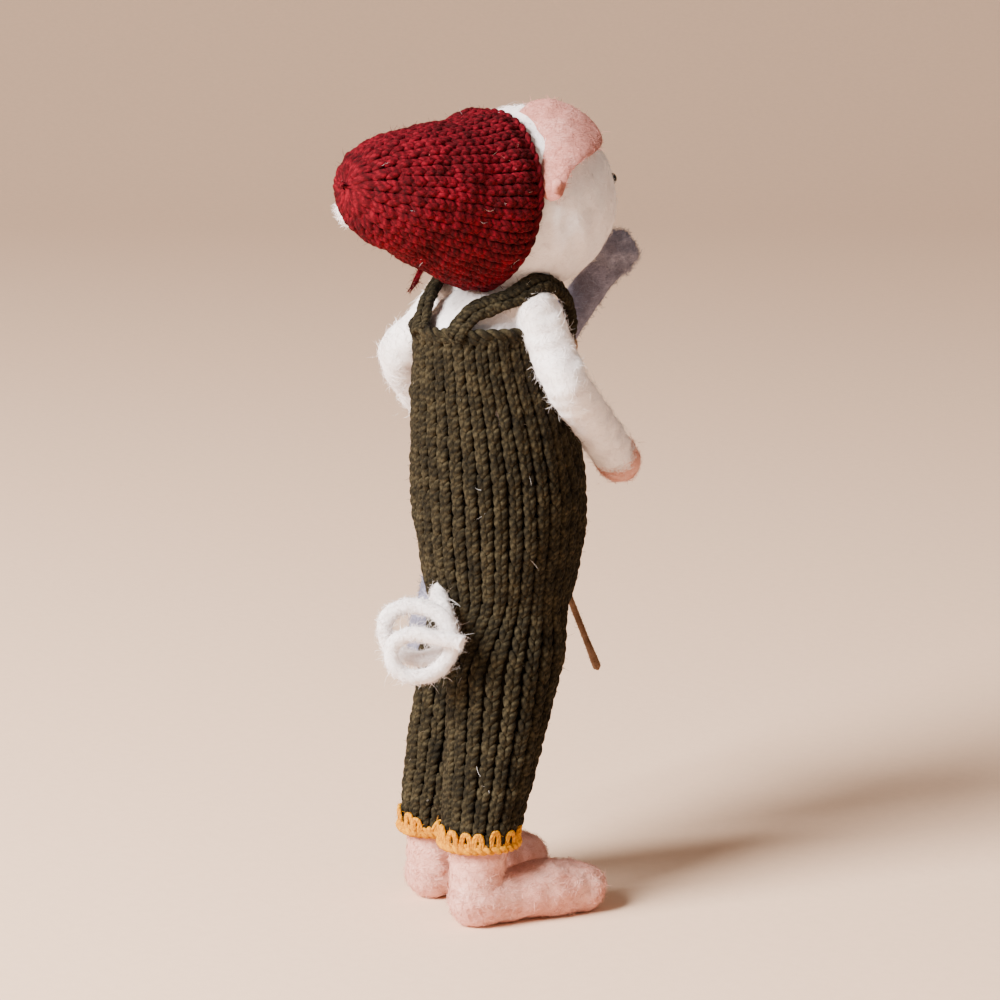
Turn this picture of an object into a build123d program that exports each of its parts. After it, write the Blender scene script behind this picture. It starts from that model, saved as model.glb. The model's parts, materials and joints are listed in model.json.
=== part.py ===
"""A posable needle-felted mouse doll in knitted dungarees and a hat, with a felt goose under one arm.

Millimetres. The doll faces -Y, +X is its own left, +Z is up and the floor is z = 0.
The origin is on the floor below the middle of the belly.
"""
import os
from math import cos, radians, sin, tan

from build123d import *

os.makedirs("parts", exist_ok=True)

# Driving dimensions
KNIT = 2.2                      # wall of the knitted garment
GAP = 0.4                       # room left between two pieces that move apart
WIRE_R = 0.8                    # armature wire
TAIL_WIRE_R = 0.5
BORE_ROOM = 0.05                # radial room for the neck wire in its bore
HEAD_R = 25.0
HEAD_AT = Vector(0, -7.5, 193.2)
HEAD_TURN = 15.0                # head turned to its left, degrees
HEAD_ROLL = 14.0                # head tilted to its left, degrees
SNOUT_REACH = 33.0              # head centre to the middle of the nose
NOSE_R = 2.7
EYE_R = 1.7
EYE_SIDE = 42.0                 # angle of each eye from the snout, degrees
EAR_R = 14.0
EAR_THICK = 2.4
EAR_DROOP = {"right": 0.0, "left": 12.0}    # the left ear flops down and forward
EAR_SWING = {"right": 0.0, "left": -24.0}
HAT_RISE = 8.0                  # the hat points back and up by this angle
HAT_RIM = 11.8                  # head centre to the rim plane
HAT_LONG = 46.0
HAT_WALL = 1.6
BRIM = 1.8                      # depth of the hat's rolled rim
BOBBLE_R = 3.6
YARN_R = 0.7                    # loose end of the hat's yarn
HIP_TWIST = -12.0               # the legs are turned about Z by this angle
HIP_AT = Vector(0, 1.5, 78.0)
HIP_R = 17.0
ARM_R = 5.5
BALL_R = 5.9                    # felt ball at each arm joint
STRAP_R = 1.3
TAIL_R = 2.0
TAIL_ROOM = 1.8                 # room round the root of the tail
TAIL_ROOT = Vector(0, 20.6, 89.0)
SOLE_CUT = 1.0                  # how far the round of the foot is pressed flat
FOOT_R = 8.0
CUFF_R = 10.2

# The part's origin, the middle of the right sole. Sizes below start at a point under the doll's belly.
ORIGIN = Vector(-18, 4.1, 0)

# Trunk of the garment: height, centre y and radius of each round section
TRUNK = [(84, 0.0, 19.0), (100, 0.0, 21.9), (117, 0.4, 23.2), (134, 2.6, 21.6), (160, 7.0, 17.8)]
SHOULDERS = [(160, 7.0, 15.2, 15.2), (165, 4.5, 14.0, 13.0), (168.4, 0.0, 11.0, 11.5)]

# Joint points of the limbs, each side: -1 is the doll's right and +1 its left
SIDES = {"right": -1, "left": 1}
SHOULDER = {"right": (-17.5, 1.5, 165), "left": (17.5, 3.5, 165)}
ELBOW = {"right": (-25.0, -3.0, 147), "left": (35, 7, 148)}
WRIST = {"right": (-18.9, -20.0, 131), "left": (46, -10, 126)}
HAND = {"right": (-6, -36.5, 119), "left": (48.5, -27.5, 118)}
STRAP = {
    "right": [(-9.2, 23.0, 161.5), (-11.5, 17.5, 167), (-16, 8.5, 169.8), (-18, 1, 174.2),
              (-16.6, -7, 169.8), (-13.2, -12.6, 162), (-12, -12.4, 153)],
    "left": [(2.5, 24.6, 161.5), (7, 19.5, 167), (14.5, 10.5, 169.8), (18, 3, 174.2),
             (16.6, -5.5, 169.8), (13.2, -12, 162), (12, -12.6, 153)],
}
HEEL = {"right": (-14.4, 19.4, FOOT_R - SOLE_CUT), "left": (13.6, 13, FOOT_R - SOLE_CUT)}
TOE = {"right": (-21.6, -11.2, FOOT_R - SOLE_CUT), "left": (11.2, -17, FOOT_R - SOLE_CUT)}
CUFF_Z = {"right": 23.5, "left": 21.0}
# Leg sections in the turned hip frame: height, x, y, half width, half depth
LEG = {
    "right": [(49, -14.2, 8.6, 11.2, 13.3), (66, -12.3, 5.0, 11.2, 15.4), (96, -9.9, 1.5, 9.4, 18.0)],
    "left": [(49, 10.9, 7.3, 11.2, 13.3), (66, 11.0, 3.2, 10.9, 15.4), (96, 9.9, 1.5, 9.4, 18.0)],
}
CUFF_AT = {"right": (-16.0, 14.0), "left": (10.6, 13.8)}

# Goose: sections along its leaning body
GOOSE = [((40.0, -6, 72), 6.8), ((36, -14, 90), 9.4), ((31.5, -20, 112), 10.8),
         ((28, -28.5, 132), 9.8), ((24.5, -34, 144), 6.2)]
GOOSE_TAIL = [((41.2, -4.2, 59), 4.6), ((40.0, -6, 72), 6.8)]
GOOSE_NECK = [(24.5, -34, 144), (19, -39.5, 156), (10, -46.8, 172)]
GOOSE_NECK_R = 4.9
GOOSE_HEAD = Vector(9.8, -47.5, 174)
GOOSE_HEAD_R = 6.4
GOOSE_EYE_R = 0.8
GOOSE_LEG_R = 0.9
GOOSE_FOOT_R = 1.4
BEAK = [(4.5, 3.2), (13, 1.3)]  # distance from the middle of the head, and radius
WING_THICK = 1.0
GOOSE_LEGS = {"right": [(19.6, -26, 104), (16, -35.5, 80), (14.9, -47, 54)],
              "left": [(27, -25, 100), (26, -31, 80), (26, -36, 62)]}


def export(piece, name):
    """Bring one finished piece to the part's origin, label it and write its STEP file."""
    placed = piece.part.moved(Location(-ORIGIN))
    placed.label = name
    export_step(placed, f"parts/{name}.step")


def bend_radii(points):
    """The largest easy bend at each corner of a run of points."""
    corners = []
    for before, at, after in zip(points, points[1:], points[2:]):
        run_in, run_out = Vector(at) - Vector(before), Vector(after) - Vector(at)
        half_turn = radians(run_in.get_angle(run_out)) / 2
        corners.append(0.45 * min(run_in.length, run_out.length) / tan(half_turn))
    return corners


def tube(points, radius):
    """A round tube along a run of points with its corners bent to arcs."""
    with BuildPart() as piece:
        with BuildLine() as path:
            if len(points) == 2:
                Line(*points)
            else:
                FilletPolyline(*points, radius=bend_radii(points))
        with BuildSketch(Plane(origin=path.line @ 0, z_dir=path.line % 0)):
            Circle(radius)
        sweep(path=path.line)
    return piece


def capsule(points, radius, first_ball, last_ball):
    """A tube with a ball at each end."""
    with BuildPart() as piece:
        add(tube(points, radius).part)
        with Locations(points[0]):
            Sphere(first_ball)
        with Locations(points[-1]):
            Sphere(last_ball)
    return piece


def round_stack(sections, grow=0.0):
    """A solid through round sections given as height, centre y and radius."""
    with BuildPart() as piece:
        for height, y, radius in sections:
            with BuildSketch(Plane.XY.offset(height)):
                with Locations((0, y)):
                    Circle(radius + grow)
        loft()
    return piece


def leaning_stack(sections, grow=0.0):
    """A solid through round sections that stand square to their line of centres."""
    centres = [Vector(centre) for centre, radius in sections]
    with BuildPart() as piece:
        for number, (centre, radius) in enumerate(sections):
            before, after = centres[max(number - 1, 0)], centres[min(number + 1, len(centres) - 1)]
            with BuildSketch(Plane(origin=centre, x_dir=(0.9, -0.3, 0.3), z_dir=after - before)):
                Circle(radius + grow)
        loft()
    return piece


# ---- frames of reference ----
hip_axis = Axis(HIP_AT, Vector(1, 0, 0).rotate(Axis.Z, HIP_TWIST))
hip_frame = Location((0, 0, 0), (0, 0, HIP_TWIST))
head_frame = Plane(HEAD_AT, x_dir=(1, 0, 0), z_dir=(0, 0, 1)).location
head_frame = head_frame * Location((0, 0, 0), (0, 0, HEAD_TURN)) * Location((0, 0, 0), (0, HEAD_ROLL, 0))
hat_axis = Vector(0, cos(radians(HAT_RISE)), sin(radians(HAT_RISE)))
rim_at = HEAD_AT + hat_axis * HAT_RIM


def hip_drum(radius):
    """A drum about the hip axis, used to part the legs from the trunk."""
    plane = Plane(origin=HIP_AT - hip_axis.direction * 40, z_dir=hip_axis.direction)
    with BuildPart() as piece:
        with BuildSketch(plane):
            Circle(radius)
        extrude(amount=80)
    return piece


# ---- armature, torso and garment trunk ----
NECK_TOP = HEAD_AT.Z - 6
with BuildPart() as armature_spine:
    add(tube([(0, 0.5, 101), (0, 3, 132), (0, 1.5, 152), (0, -7.5, 163), (0, -7.5, NECK_TOP)],
             WIRE_R).part)
export(armature_spine, "armature_spine")

arm_rooms = {}
for side in SIDES:
    arm_rooms[side] = capsule([SHOULDER[side], ELBOW[side]], ARM_R + GAP, BALL_R + GAP, BALL_R)

with BuildPart() as tail_room:
    with Locations(TAIL_ROOT):
        Sphere(TAIL_R + TAIL_ROOM)

with BuildPart() as torso_felt:
    add(round_stack(TRUNK, grow=-KNIT - 0.1).part)
    for height, y, half_width, half_depth in SHOULDERS:
        with BuildSketch(Plane.XY.offset(height)):
            with Locations((0, y)):
                Ellipse(half_width, half_depth)
    loft()
    with Locations(HEAD_AT):
        Sphere(HEAD_R + GAP, mode=Mode.SUBTRACT)
    add(hip_drum(HIP_R + GAP).part, mode=Mode.SUBTRACT)
    for side in SIDES:
        add(arm_rooms[side].part, mode=Mode.SUBTRACT)
    add(tail_room.part, mode=Mode.SUBTRACT)
    add(armature_spine.part, mode=Mode.SUBTRACT)
export(torso_felt, "torso_felt")

with BuildPart() as dungarees_trunk:
    add(round_stack(TRUNK).part)
    add(round_stack(TRUNK, grow=-KNIT).part, mode=Mode.SUBTRACT)
    add(hip_drum(HIP_R + GAP).part, mode=Mode.SUBTRACT)
    add(tail_room.part, mode=Mode.SUBTRACT)
    for side in SIDES:
        add(arm_rooms[side].part, mode=Mode.SUBTRACT)
export(dungarees_trunk, "dungarees_trunk")

top_z, top_y, top_r = TRUNK[-1]
with BuildPart() as edging:
    with BuildSketch(Plane.XY.offset(top_z)):
        with Locations((0, top_y)):
            Circle(top_r + 0.6)
            Circle(top_r - KNIT, mode=Mode.SUBTRACT)
    extrude(amount=1.6)
    for side in SIDES:
        add(arm_rooms[side].part, mode=Mode.SUBTRACT)
for name, solid in zip(("edging_front", "edging_back"), edging.solids().sort_by(Axis.Y)):
    with BuildPart() as edging_piece:
        add(solid)
    export(edging_piece, name)

for side, points in STRAP.items():
    with BuildPart() as strap:
        add(tube(points, STRAP_R).part)
        add(edging.part, mode=Mode.SUBTRACT)
        add(dungarees_trunk.part, mode=Mode.SUBTRACT)
        add(torso_felt.part, mode=Mode.SUBTRACT)
    export(strap, f"strap_{side}")

    button_at = Vector(points[-1]) + Vector(0, -STRAP_R - 0.1, 1.5)
    with BuildPart() as button:
        with BuildSketch(Plane(origin=button_at, z_dir=(0, -1, 0))):
            Circle(2.6)
            with GridLocations(1.4, 1.4, 2, 2):
                Circle(0.35, mode=Mode.SUBTRACT)
        extrude(amount=1.2)
    export(button, f"button_{side}")

# ---- head ----
ear_width = Vector(0.492, -0.403, 0.772)
ear_reach = Vector(-0.828, -0.49, 0.271)
ear_root = Vector(-0.713, 0.323, 0.622) * HEAD_R
snout_way = Vector(0, -cos(radians(6)), -sin(radians(6)))


def head_point(local):
    """A point of the head's own frame, placed on the doll."""
    return (head_frame * Location(local)).position


def head_way(local):
    """A direction of the head's own frame, placed on the doll."""
    return head_point(local) - head_point((0, 0, 0))


nose_at = head_point(snout_way * SNOUT_REACH)
eye_at = {}
for side, sign in SIDES.items():
    angle = radians(EYE_SIDE)
    eye_at[side] = head_point(Vector(sign * sin(angle), -cos(angle), 0.03) * (HEAD_R - 0.3))

with BuildPart() as nose:
    with Locations(nose_at):
        Sphere(NOSE_R)
export(nose, "nose")

eyes = {}
for side in SIDES:
    with BuildPart() as eye:
        with Locations(Location(eye_at[side], (0, 0, 180))):
            Sphere(EYE_R)
    eyes[side] = eye
    export(eye, f"eye_{side}")

with BuildPart() as snout:
    for reach, radius in [(17, 13.5), (24, 10.2), (29, 6.8), (32, 4.6)]:
        with BuildSketch(Plane(origin=head_point(snout_way * reach), z_dir=head_way(snout_way))):
            Circle(radius)
    loft()
    with Locations(HEAD_AT):
        Sphere(HEAD_R, mode=Mode.SUBTRACT)
    add(nose.part, mode=Mode.SUBTRACT)
    for eye in eyes.values():
        add(eye.part, mode=Mode.SUBTRACT)
export(snout, "snout")

with BuildPart() as head_felt:
    with Locations(HEAD_AT):
        Sphere(HEAD_R)
    for eye in eyes.values():
        add(eye.part, mode=Mode.SUBTRACT)
    with BuildSketch(Plane.XY.offset(HEAD_AT.Z - HEAD_R - 1)):
        with Locations((HEAD_AT.X, HEAD_AT.Y)):
            Circle(WIRE_R + BORE_ROOM)
    extrude(amount=NECK_TOP + 2 - HEAD_AT.Z + HEAD_R + 1, mode=Mode.SUBTRACT)
export(head_felt, "head_felt")


for side, sign in SIDES.items():
    droop = Location((0, 0, 0), (0, 0, EAR_SWING[side])) * Location((0, 0, 0), (0, EAR_DROOP[side], 0))
    root, width, reach = [
        (droop * Location(Vector(-sign * v.X, v.Y, v.Z))).position for v in (ear_root, ear_width, ear_reach)
    ]
    centre = head_point(root * 0.97 + reach * 1.2)
    facing = head_way(width).cross(head_way(reach))
    with BuildPart() as ear:
        with BuildSketch(Plane(origin=centre, x_dir=head_way(width), z_dir=facing)):
            Circle(EAR_R)
        extrude(amount=EAR_THICK / 2, both=True)
        fillet(ear.edges(), radius=EAR_THICK * 0.4)
        with Locations(HEAD_AT):
            Sphere(HEAD_R, mode=Mode.SUBTRACT)
        with BuildSketch(Plane(origin=rim_at - hat_axis * (BRIM + GAP), z_dir=hat_axis)):
            Circle(HEAD_R * 2)
        extrude(amount=HAT_LONG, mode=Mode.SUBTRACT)
    export(ear, f"ear_{side}")

# ---- hat ----
HAT_SHAPE = [(0, 23.9), (6, 24.2), (14, 21.8), (22, 19.4), (30, 17.0), (37, 14.2), (43, 9.6)]
hat_plane = Plane(origin=rim_at, x_dir=(1, 0, 0), z_dir=Vector(1, 0, 0).cross(hat_axis))


def hat_outline(inset):
    """Half of the hat's section: x across and y along its axis."""
    reach = HAT_LONG - inset
    curve = [(radius - inset, along) for along, radius in HAT_SHAPE[:-1]]
    curve.append((HAT_SHAPE[-1][1] - inset, HAT_SHAPE[-1][0] - inset * 0.6))
    with BuildLine() as outline:
        side = Spline(*curve)
        round_end = Spline(side @ 1, (0, reach), tangents=[side % 1, (-1, 0)])
        Line(round_end @ 1, (0, 0))
        Line((0, 0), side @ 0)
    return outline


hat_line = Axis(rim_at, hat_axis)
with BuildPart() as hat_knit:
    with BuildSketch(hat_plane):
        add(hat_outline(0).line)
        make_face()
    revolve(axis=hat_line)
    with BuildSketch(hat_plane):
        add(hat_outline(HAT_WALL).line)
        make_face()
    revolve(axis=hat_line, mode=Mode.SUBTRACT)
export(hat_knit, "hat_knit")

with BuildPart() as hat_brim:
    with BuildSketch(Plane(origin=rim_at - hat_axis * BRIM, z_dir=hat_axis)):
        Circle(HAT_SHAPE[0][1] + 0.8)
        Circle(HAT_SHAPE[0][1] - 0.6, mode=Mode.SUBTRACT)
    extrude(amount=BRIM)
export(hat_brim, "hat_brim")

bobble_at = rim_at + hat_axis * 36 + Vector(12.8, 0.4, -6.6)
with BuildPart() as bobble:
    with Locations(bobble_at):
        Sphere(BOBBLE_R)
    add(hat_knit.part, mode=Mode.SUBTRACT)
with BuildPart() as hat_bobble:
    add(bobble.solids().sort_by(Axis.X)[-1])
export(hat_bobble, "hat_bobble")

hat_low = rim_at + hat_axis * 22 - Vector(0, 0, 19.9)
with BuildPart() as hat_yarn_end:
    add(tube([hat_low + Vector(0, 0, -0.3), hat_low + Vector(0.6, 1.2, -3.4), hat_low + Vector(0.2, 3.2, -6)],
             YARN_R).part)
    add(hat_knit.part, mode=Mode.SUBTRACT)
export(hat_yarn_end, "hat_yarn_end")

# ---- arms ----
for side in SIDES:
    shoulder, elbow, wrist, hand = (Vector(p[side]) for p in (SHOULDER, ELBOW, WRIST, HAND))
    along = (elbow - shoulder).normalized()
    with BuildPart() as upper_wire:
        add(tube([shoulder + along * 2, elbow - along * 8], WIRE_R).part)
    export(upper_wire, f"arm_wire_{side}")

    lower = [elbow, wrist, hand]
    with BuildPart() as upper_arm:
        add(capsule([shoulder, elbow], ARM_R, BALL_R, BALL_R - 0.2).part)
        add(capsule(lower, ARM_R + GAP, BALL_R + GAP, BALL_R).part, mode=Mode.SUBTRACT)
        add(upper_wire.part, mode=Mode.SUBTRACT)
    export(upper_arm, f"upper_arm_{side}")

    hand_way = (hand - wrist).normalized()
    hand_start = hand - hand_way * 10
    with BuildPart() as lower_wire:
        add(tube([elbow + (wrist - elbow).normalized() * 2, wrist, hand - hand_way * 3], WIRE_R).part)
    export(lower_wire, f"forearm_wire_{side}")

    with BuildPart() as forearm:
        add(capsule(lower, ARM_R, BALL_R, BALL_R).part)
        split(bisect_by=Plane(origin=hand_start, z_dir=-hand_way), keep=Keep.TOP)
        add(lower_wire.part, mode=Mode.SUBTRACT)
    export(forearm, f"forearm_{side}")

    with BuildPart() as hand_piece:
        add(capsule(lower, ARM_R, BALL_R, BALL_R).part)
        split(bisect_by=Plane(origin=hand_start, z_dir=hand_way), keep=Keep.TOP)
        add(lower_wire.part, mode=Mode.SUBTRACT)
    export(hand_piece, f"hand_{side}")

# ---- legs ----
for side in SIDES:
    cuff_x, cuff_y = CUFF_AT[side]
    sections = [(CUFF_Z[side], cuff_x, cuff_y, CUFF_R, CUFF_R)] + LEG[side]

    def leg_stack(inset):
        """A leg's solid through oval sections in the turned hip frame."""
        with BuildPart() as piece:
            for height, x, y, half_width, half_depth in sections:
                with BuildSketch(Plane(hip_frame).offset(height)):
                    with Locations((x, y)):
                        Ellipse(half_width - inset, half_depth - inset)
            loft()
        return piece

    with BuildPart() as drum:
        add(hip_drum(HIP_R).part)
        with BuildSketch(Plane.XY.offset(0)):
            Rectangle(120, 120)
        extrude(amount=HIP_AT.Z)

    heel, toe = Vector(HEEL[side]), Vector(TOE[side])
    ankle = (hip_frame * Location((cuff_x, cuff_y, CUFF_Z[side] + 4))).position
    with BuildPart() as leg_wire:
        hip_spot = (hip_frame * Location((LEG[side][-1][1], HIP_AT.Y + 1, HIP_AT.Z + 6))).position
        knee = (hip_frame * Location((LEG[side][0][1], LEG[side][0][2], LEG[side][0][0]))).position
        add(tube([hip_spot, knee, ankle + Vector(0, 0, -2), heel + Vector(0, 0, 4)], WIRE_R).part)
    export(leg_wire, f"leg_wire_{side}")

    with BuildPart() as leg_felt:
        add(leg_stack(KNIT + 0.1).part)
        add(drum.part, mode=Mode.INTERSECT)
        add(leg_wire.part, mode=Mode.SUBTRACT)
    export(leg_felt, f"leg_felt_{side}")

    with BuildPart() as trouser_leg:
        add(leg_stack(0).part)
        add(leg_stack(KNIT).part, mode=Mode.SUBTRACT)
        add(drum.part, mode=Mode.INTERSECT)
    export(trouser_leg, f"trouser_leg_{side}")

    with BuildPart() as cuff_trim:
        with BuildSketch(Plane(hip_frame).offset(CUFF_Z[side])):
            with Locations((cuff_x, cuff_y)):
                Circle(CUFF_R + 0.7)
                Circle(CUFF_R - KNIT / 2, mode=Mode.SUBTRACT)
        extrude(amount=-KNIT)
    export(cuff_trim, f"cuff_trim_{side}")

    with BuildPart() as foot:
        add(capsule([heel, toe], FOOT_R, FOOT_R + 0.4, FOOT_R - 0.3).part)
        with BuildSketch(Plane.XY.offset(heel.Z)):
            with Locations((heel.X, heel.Y)):
                Circle(FOOT_R - 0.1)
        with BuildSketch(Plane.XY.offset(CUFF_Z[side])):
            with Locations((ankle.X, ankle.Y)):
                Circle(CUFF_R - KNIT - 0.4)
        loft()
        with BuildSketch(Plane.XY):
            Rectangle(160, 160)
        extrude(amount=-20, mode=Mode.SUBTRACT)
        add(leg_wire.part, mode=Mode.SUBTRACT)
    export(foot, f"foot_{side}")

# ---- tail ----
TAIL = [TAIL_ROOT, (-3.2, 22.8, 87.6), (-6.6, 24.0, 85.6), (-9.8, 25.2, 81.5), (-9.5, 27.3, 76.4),
        (-6.3, 32.6, 74.1), (-2.1, 37.4, 76.5), (0, 39.0, 81.8), (-0.9, 37.1, 86.6), (-4.4, 33.1, 88.3),
        (-9.0, 29.2, 87.2), (-12.9, 27.5, 83.6), (-14.8, 27.7, 78.9), (-14.8, 29.7, 74.8),
        (-13.1, 33.7, 71.5), (-10.6, 37.8, 70.9), (-8.1, 40.9, 73.0), (-6.9, 41.9, 76.8),
        (-7.5, 40.7, 80.5), (-10.5, 37.4, 82.5), (-14.5, 33.8, 81.9), (-19.2, 29.6, 80.7)]
with BuildPart() as tail_wire:
    add(tube(TAIL, TAIL_WIRE_R).part)
export(tail_wire, "tail_wire")

with BuildPart() as tail_felt:
    add(capsule(TAIL, TAIL_R, TAIL_R + 0.4, TAIL_R - 0.1).part)
    add(tail_wire.part, mode=Mode.SUBTRACT)
export(tail_felt, "tail_felt")

# ---- goose ----
with BuildPart() as goose_body:
    add(leaning_stack(GOOSE).part)
export(goose_body, "goose_body")

with BuildPart() as goose_tail:
    add(leaning_stack(GOOSE_TAIL).part)
    add(goose_body.part, mode=Mode.SUBTRACT)
export(goose_tail, "goose_tail")

with BuildPart() as goose_head:
    with Locations(GOOSE_HEAD):
        Sphere(GOOSE_HEAD_R)
export(goose_head, "goose_head")

with BuildPart() as goose_neck:
    add(tube(GOOSE_NECK, GOOSE_NECK_R).part)
    add(goose_body.part, mode=Mode.SUBTRACT)
    add(goose_head.part, mode=Mode.SUBTRACT)
export(goose_neck, "goose_neck")

beak_way = Vector(0.76, -0.6, -0.25)
goose_eye_way = {"right": Vector(-0.14, -0.96, 0.25), "left": Vector(0.9, 0.36, 0.25)}
for side, way in goose_eye_way.items():
    with BuildPart() as goose_eye:
        with Locations(GOOSE_HEAD + way.normalized() * GOOSE_HEAD_R):
            Sphere(GOOSE_EYE_R)
        add(goose_head.part, mode=Mode.SUBTRACT)
    export(goose_eye, f"goose_eye_{side}")

with BuildPart() as goose_beak:
    for reach, radius in BEAK:
        with BuildSketch(Plane(origin=GOOSE_HEAD + beak_way * reach, z_dir=beak_way)):
            Circle(radius)
    loft()
    add(goose_head.part, mode=Mode.SUBTRACT)
export(goose_beak, "goose_beak")

wing_centre = Vector(*GOOSE[2][0])
wing_side = (Vector(*GOOSE[3][0]) - Vector(*GOOSE[1][0])).cross(Vector(0.35, -0.9, 0.2)).normalized()
wings = {}
for side, sign in SIDES.items():
    with BuildPart() as goose_wing:
        add(leaning_stack(GOOSE[1:4], grow=WING_THICK).part)
        add(goose_body.part, mode=Mode.SUBTRACT)
        split(bisect_by=Plane(origin=wing_centre + wing_side * sign * 5, z_dir=wing_side * sign),
              keep=Keep.TOP)
    wings[side] = goose_wing
    export(goose_wing, f"goose_wing_{side}")

for side, points in GOOSE_LEGS.items():
    with BuildPart() as goose_leg:
        add(tube(points, GOOSE_LEG_R).part)
        add(goose_body.part, mode=Mode.SUBTRACT)
        for wing in wings.values():
            add(wing.part, mode=Mode.SUBTRACT)
    export(goose_leg, f"goose_leg_{side}")
    with BuildPart() as goose_foot:
        with Locations(points[-1]):
            Sphere(GOOSE_FOOT_R)
        add(goose_leg.part, mode=Mode.SUBTRACT)
    export(goose_foot, f"goose_foot_{side}")
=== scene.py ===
"""The looks of the felt mouse doll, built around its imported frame: needle felt, hand knitting and crochet."""
import json
from math import cos, pi, radians, sin

import bpy
import numpy as np
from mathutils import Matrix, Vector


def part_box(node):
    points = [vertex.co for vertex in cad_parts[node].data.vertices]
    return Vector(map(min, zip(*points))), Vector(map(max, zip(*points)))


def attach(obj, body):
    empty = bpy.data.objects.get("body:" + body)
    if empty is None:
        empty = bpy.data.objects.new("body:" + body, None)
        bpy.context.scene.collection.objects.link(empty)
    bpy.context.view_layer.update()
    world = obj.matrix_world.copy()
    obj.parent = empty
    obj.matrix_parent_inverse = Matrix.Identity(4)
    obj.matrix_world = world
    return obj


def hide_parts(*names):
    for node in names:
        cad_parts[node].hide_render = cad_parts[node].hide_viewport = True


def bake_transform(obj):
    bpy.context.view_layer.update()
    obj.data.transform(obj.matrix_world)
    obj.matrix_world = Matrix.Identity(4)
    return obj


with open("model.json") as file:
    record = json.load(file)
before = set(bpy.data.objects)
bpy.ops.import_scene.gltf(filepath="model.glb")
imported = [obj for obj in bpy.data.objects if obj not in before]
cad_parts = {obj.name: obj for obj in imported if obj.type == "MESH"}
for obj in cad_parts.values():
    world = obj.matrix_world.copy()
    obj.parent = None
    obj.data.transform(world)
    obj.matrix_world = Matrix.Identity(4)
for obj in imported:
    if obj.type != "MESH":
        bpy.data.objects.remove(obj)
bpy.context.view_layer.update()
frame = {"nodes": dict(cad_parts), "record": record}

MM = 0.001
rng = np.random.default_rng(7)
SIDES = {"right": -1, "left": 1}

# ---- named sizes, in millimetres unless the name says otherwise ----
# Places are measured from under the doll's belly, and MIDDLE is that spot seen from the frame's origin.
MIDDLE = np.array([18.0, -4.1, 0.0])
VIEW_AZIMUTH, VIEW_ELEVATION, VIEW_DISTANCE = 232.0, 12.0, 1100.0
VIEW_TARGET = (0.0, 0.0, 112.0)
VIEW_LENS = 146.7
HIP_TWIST = radians(-12)
TRUNK = [(84, 0.0, 19.0), (100, 0.0, 21.9), (117, 0.4, 23.2), (134, 2.6, 21.6), (160, 7.0, 17.8)]
LEG = {
    "right": [(23.5, -16.0, 14.0, 10.2, 10.2), (49, -14.2, 8.6, 11.2, 13.3), (66, -12.3, 5.0, 11.2, 15.4),
              (96, -9.9, 1.5, 9.4, 18.0)],
    "left": [(21.0, 10.6, 13.8, 10.2, 10.2), (49, 10.9, 7.3, 11.2, 13.3), (66, 11.0, 3.2, 10.9, 15.4),
             (96, 9.9, 1.5, 9.4, 18.0)],
}
CROTCH_TOP, CROTCH_LOW = 90.0, 68.0
HALF_COLUMNS = 18
ROW = 3.05
HAT_RISE = radians(8)
HAT_RIM = 11.8
# The hat along its axis: distance from the rim, radius, lift and sideways lean
HAT_SHAPE = np.array([(0, 22.9, -0.6, 0.0), (6, 23.1, -1.0, -0.8), (14, 20.6, -1.4, -1.9),
                      (22, 18.3, -0.9, -2.8), (30, 16.0, -0.3, -2.6), (37, 13.3, -0.2, -1.6),
                      (42, 10.2, -0.1, -0.5), (45.6, 5.4, 0.0, 0.3), (47.0, 0.2, 0.0, 0.6)])
EYE_SIDE = radians(42)
HEEL = {"right": (-14.4, 19.4), "left": (13.6, 13.0)}
TOE = {"right": (-21.6, -11.2), "left": (11.2, -17.0)}
HEAD_TURN, HEAD_ROLL = radians(15), radians(14)
SNOUT_REACH = 31.5


def mm_of(point):
    """A frame point in millimetres from under the doll's belly."""
    return np.array(point, float) / MM - MIDDLE


def box_mm(node):
    """A node's lowest and highest corners in millimetres."""
    low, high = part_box(node)
    return mm_of(low), mm_of(high)


def centre_mm(node):
    """The middle of a node's box in millimetres."""
    low, high = box_mm(node)
    return (low + high) / 2


JOINTS = {joint["name"]: joint for joint in frame["record"]["behaviour"]["joints"]}


def joint_mm(name):
    """Where a hinge turns, in millimetres."""
    return mm_of(JOINTS[name]["pos_m"])


HEAD_AT = joint_mm("head_turn")
HEAD_R = float(np.ptp(box_mm("head_felt"), axis=0)[0] / 2)


# ---- camera ----
def make_camera():
    """The camera, behind the doll and to its right."""
    azimuth, elevation = radians(VIEW_AZIMUTH), radians(VIEW_ELEVATION)
    back = np.array([sin(azimuth) * cos(elevation), -cos(azimuth) * cos(elevation), sin(elevation)])
    data = bpy.data.cameras.new("camera")
    data.lens = VIEW_LENS
    camera = bpy.data.objects.new("camera", data)
    camera.location = (MIDDLE + VIEW_TARGET + back * VIEW_DISTANCE) * MM
    camera.rotation_euler = (pi / 2 - elevation, 0, azimuth)
    bpy.context.collection.objects.link(camera)
    bpy.context.scene.camera = camera


make_camera()


# ---- materials ----
def new_material(name):
    """An empty material with a principled shader."""
    mat = bpy.data.materials.new(name)
    mat.use_nodes = True
    return mat, mat.node_tree.nodes, mat.node_tree.links, mat.node_tree.nodes["Principled BSDF"]


def node(nodes, kind, **values):
    """A node with its properties and sockets set by name."""
    made = nodes.new(kind)
    for key, value in values.items():
        if key in made.inputs:
            made.inputs[key].default_value = value
        else:
            setattr(made, key, value)
    return made


def ramp(nodes, stops):
    """A colour ramp through (place, colour) stops."""
    made = nodes.new("ShaderNodeValToRGB")
    elements = made.color_ramp.elements
    while len(elements) < len(stops):
        elements.new(0.5)
    for element, (place, colour) in zip(elements, stops):
        element.position = place
        element.color = (*colour, 1)
    return made


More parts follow.
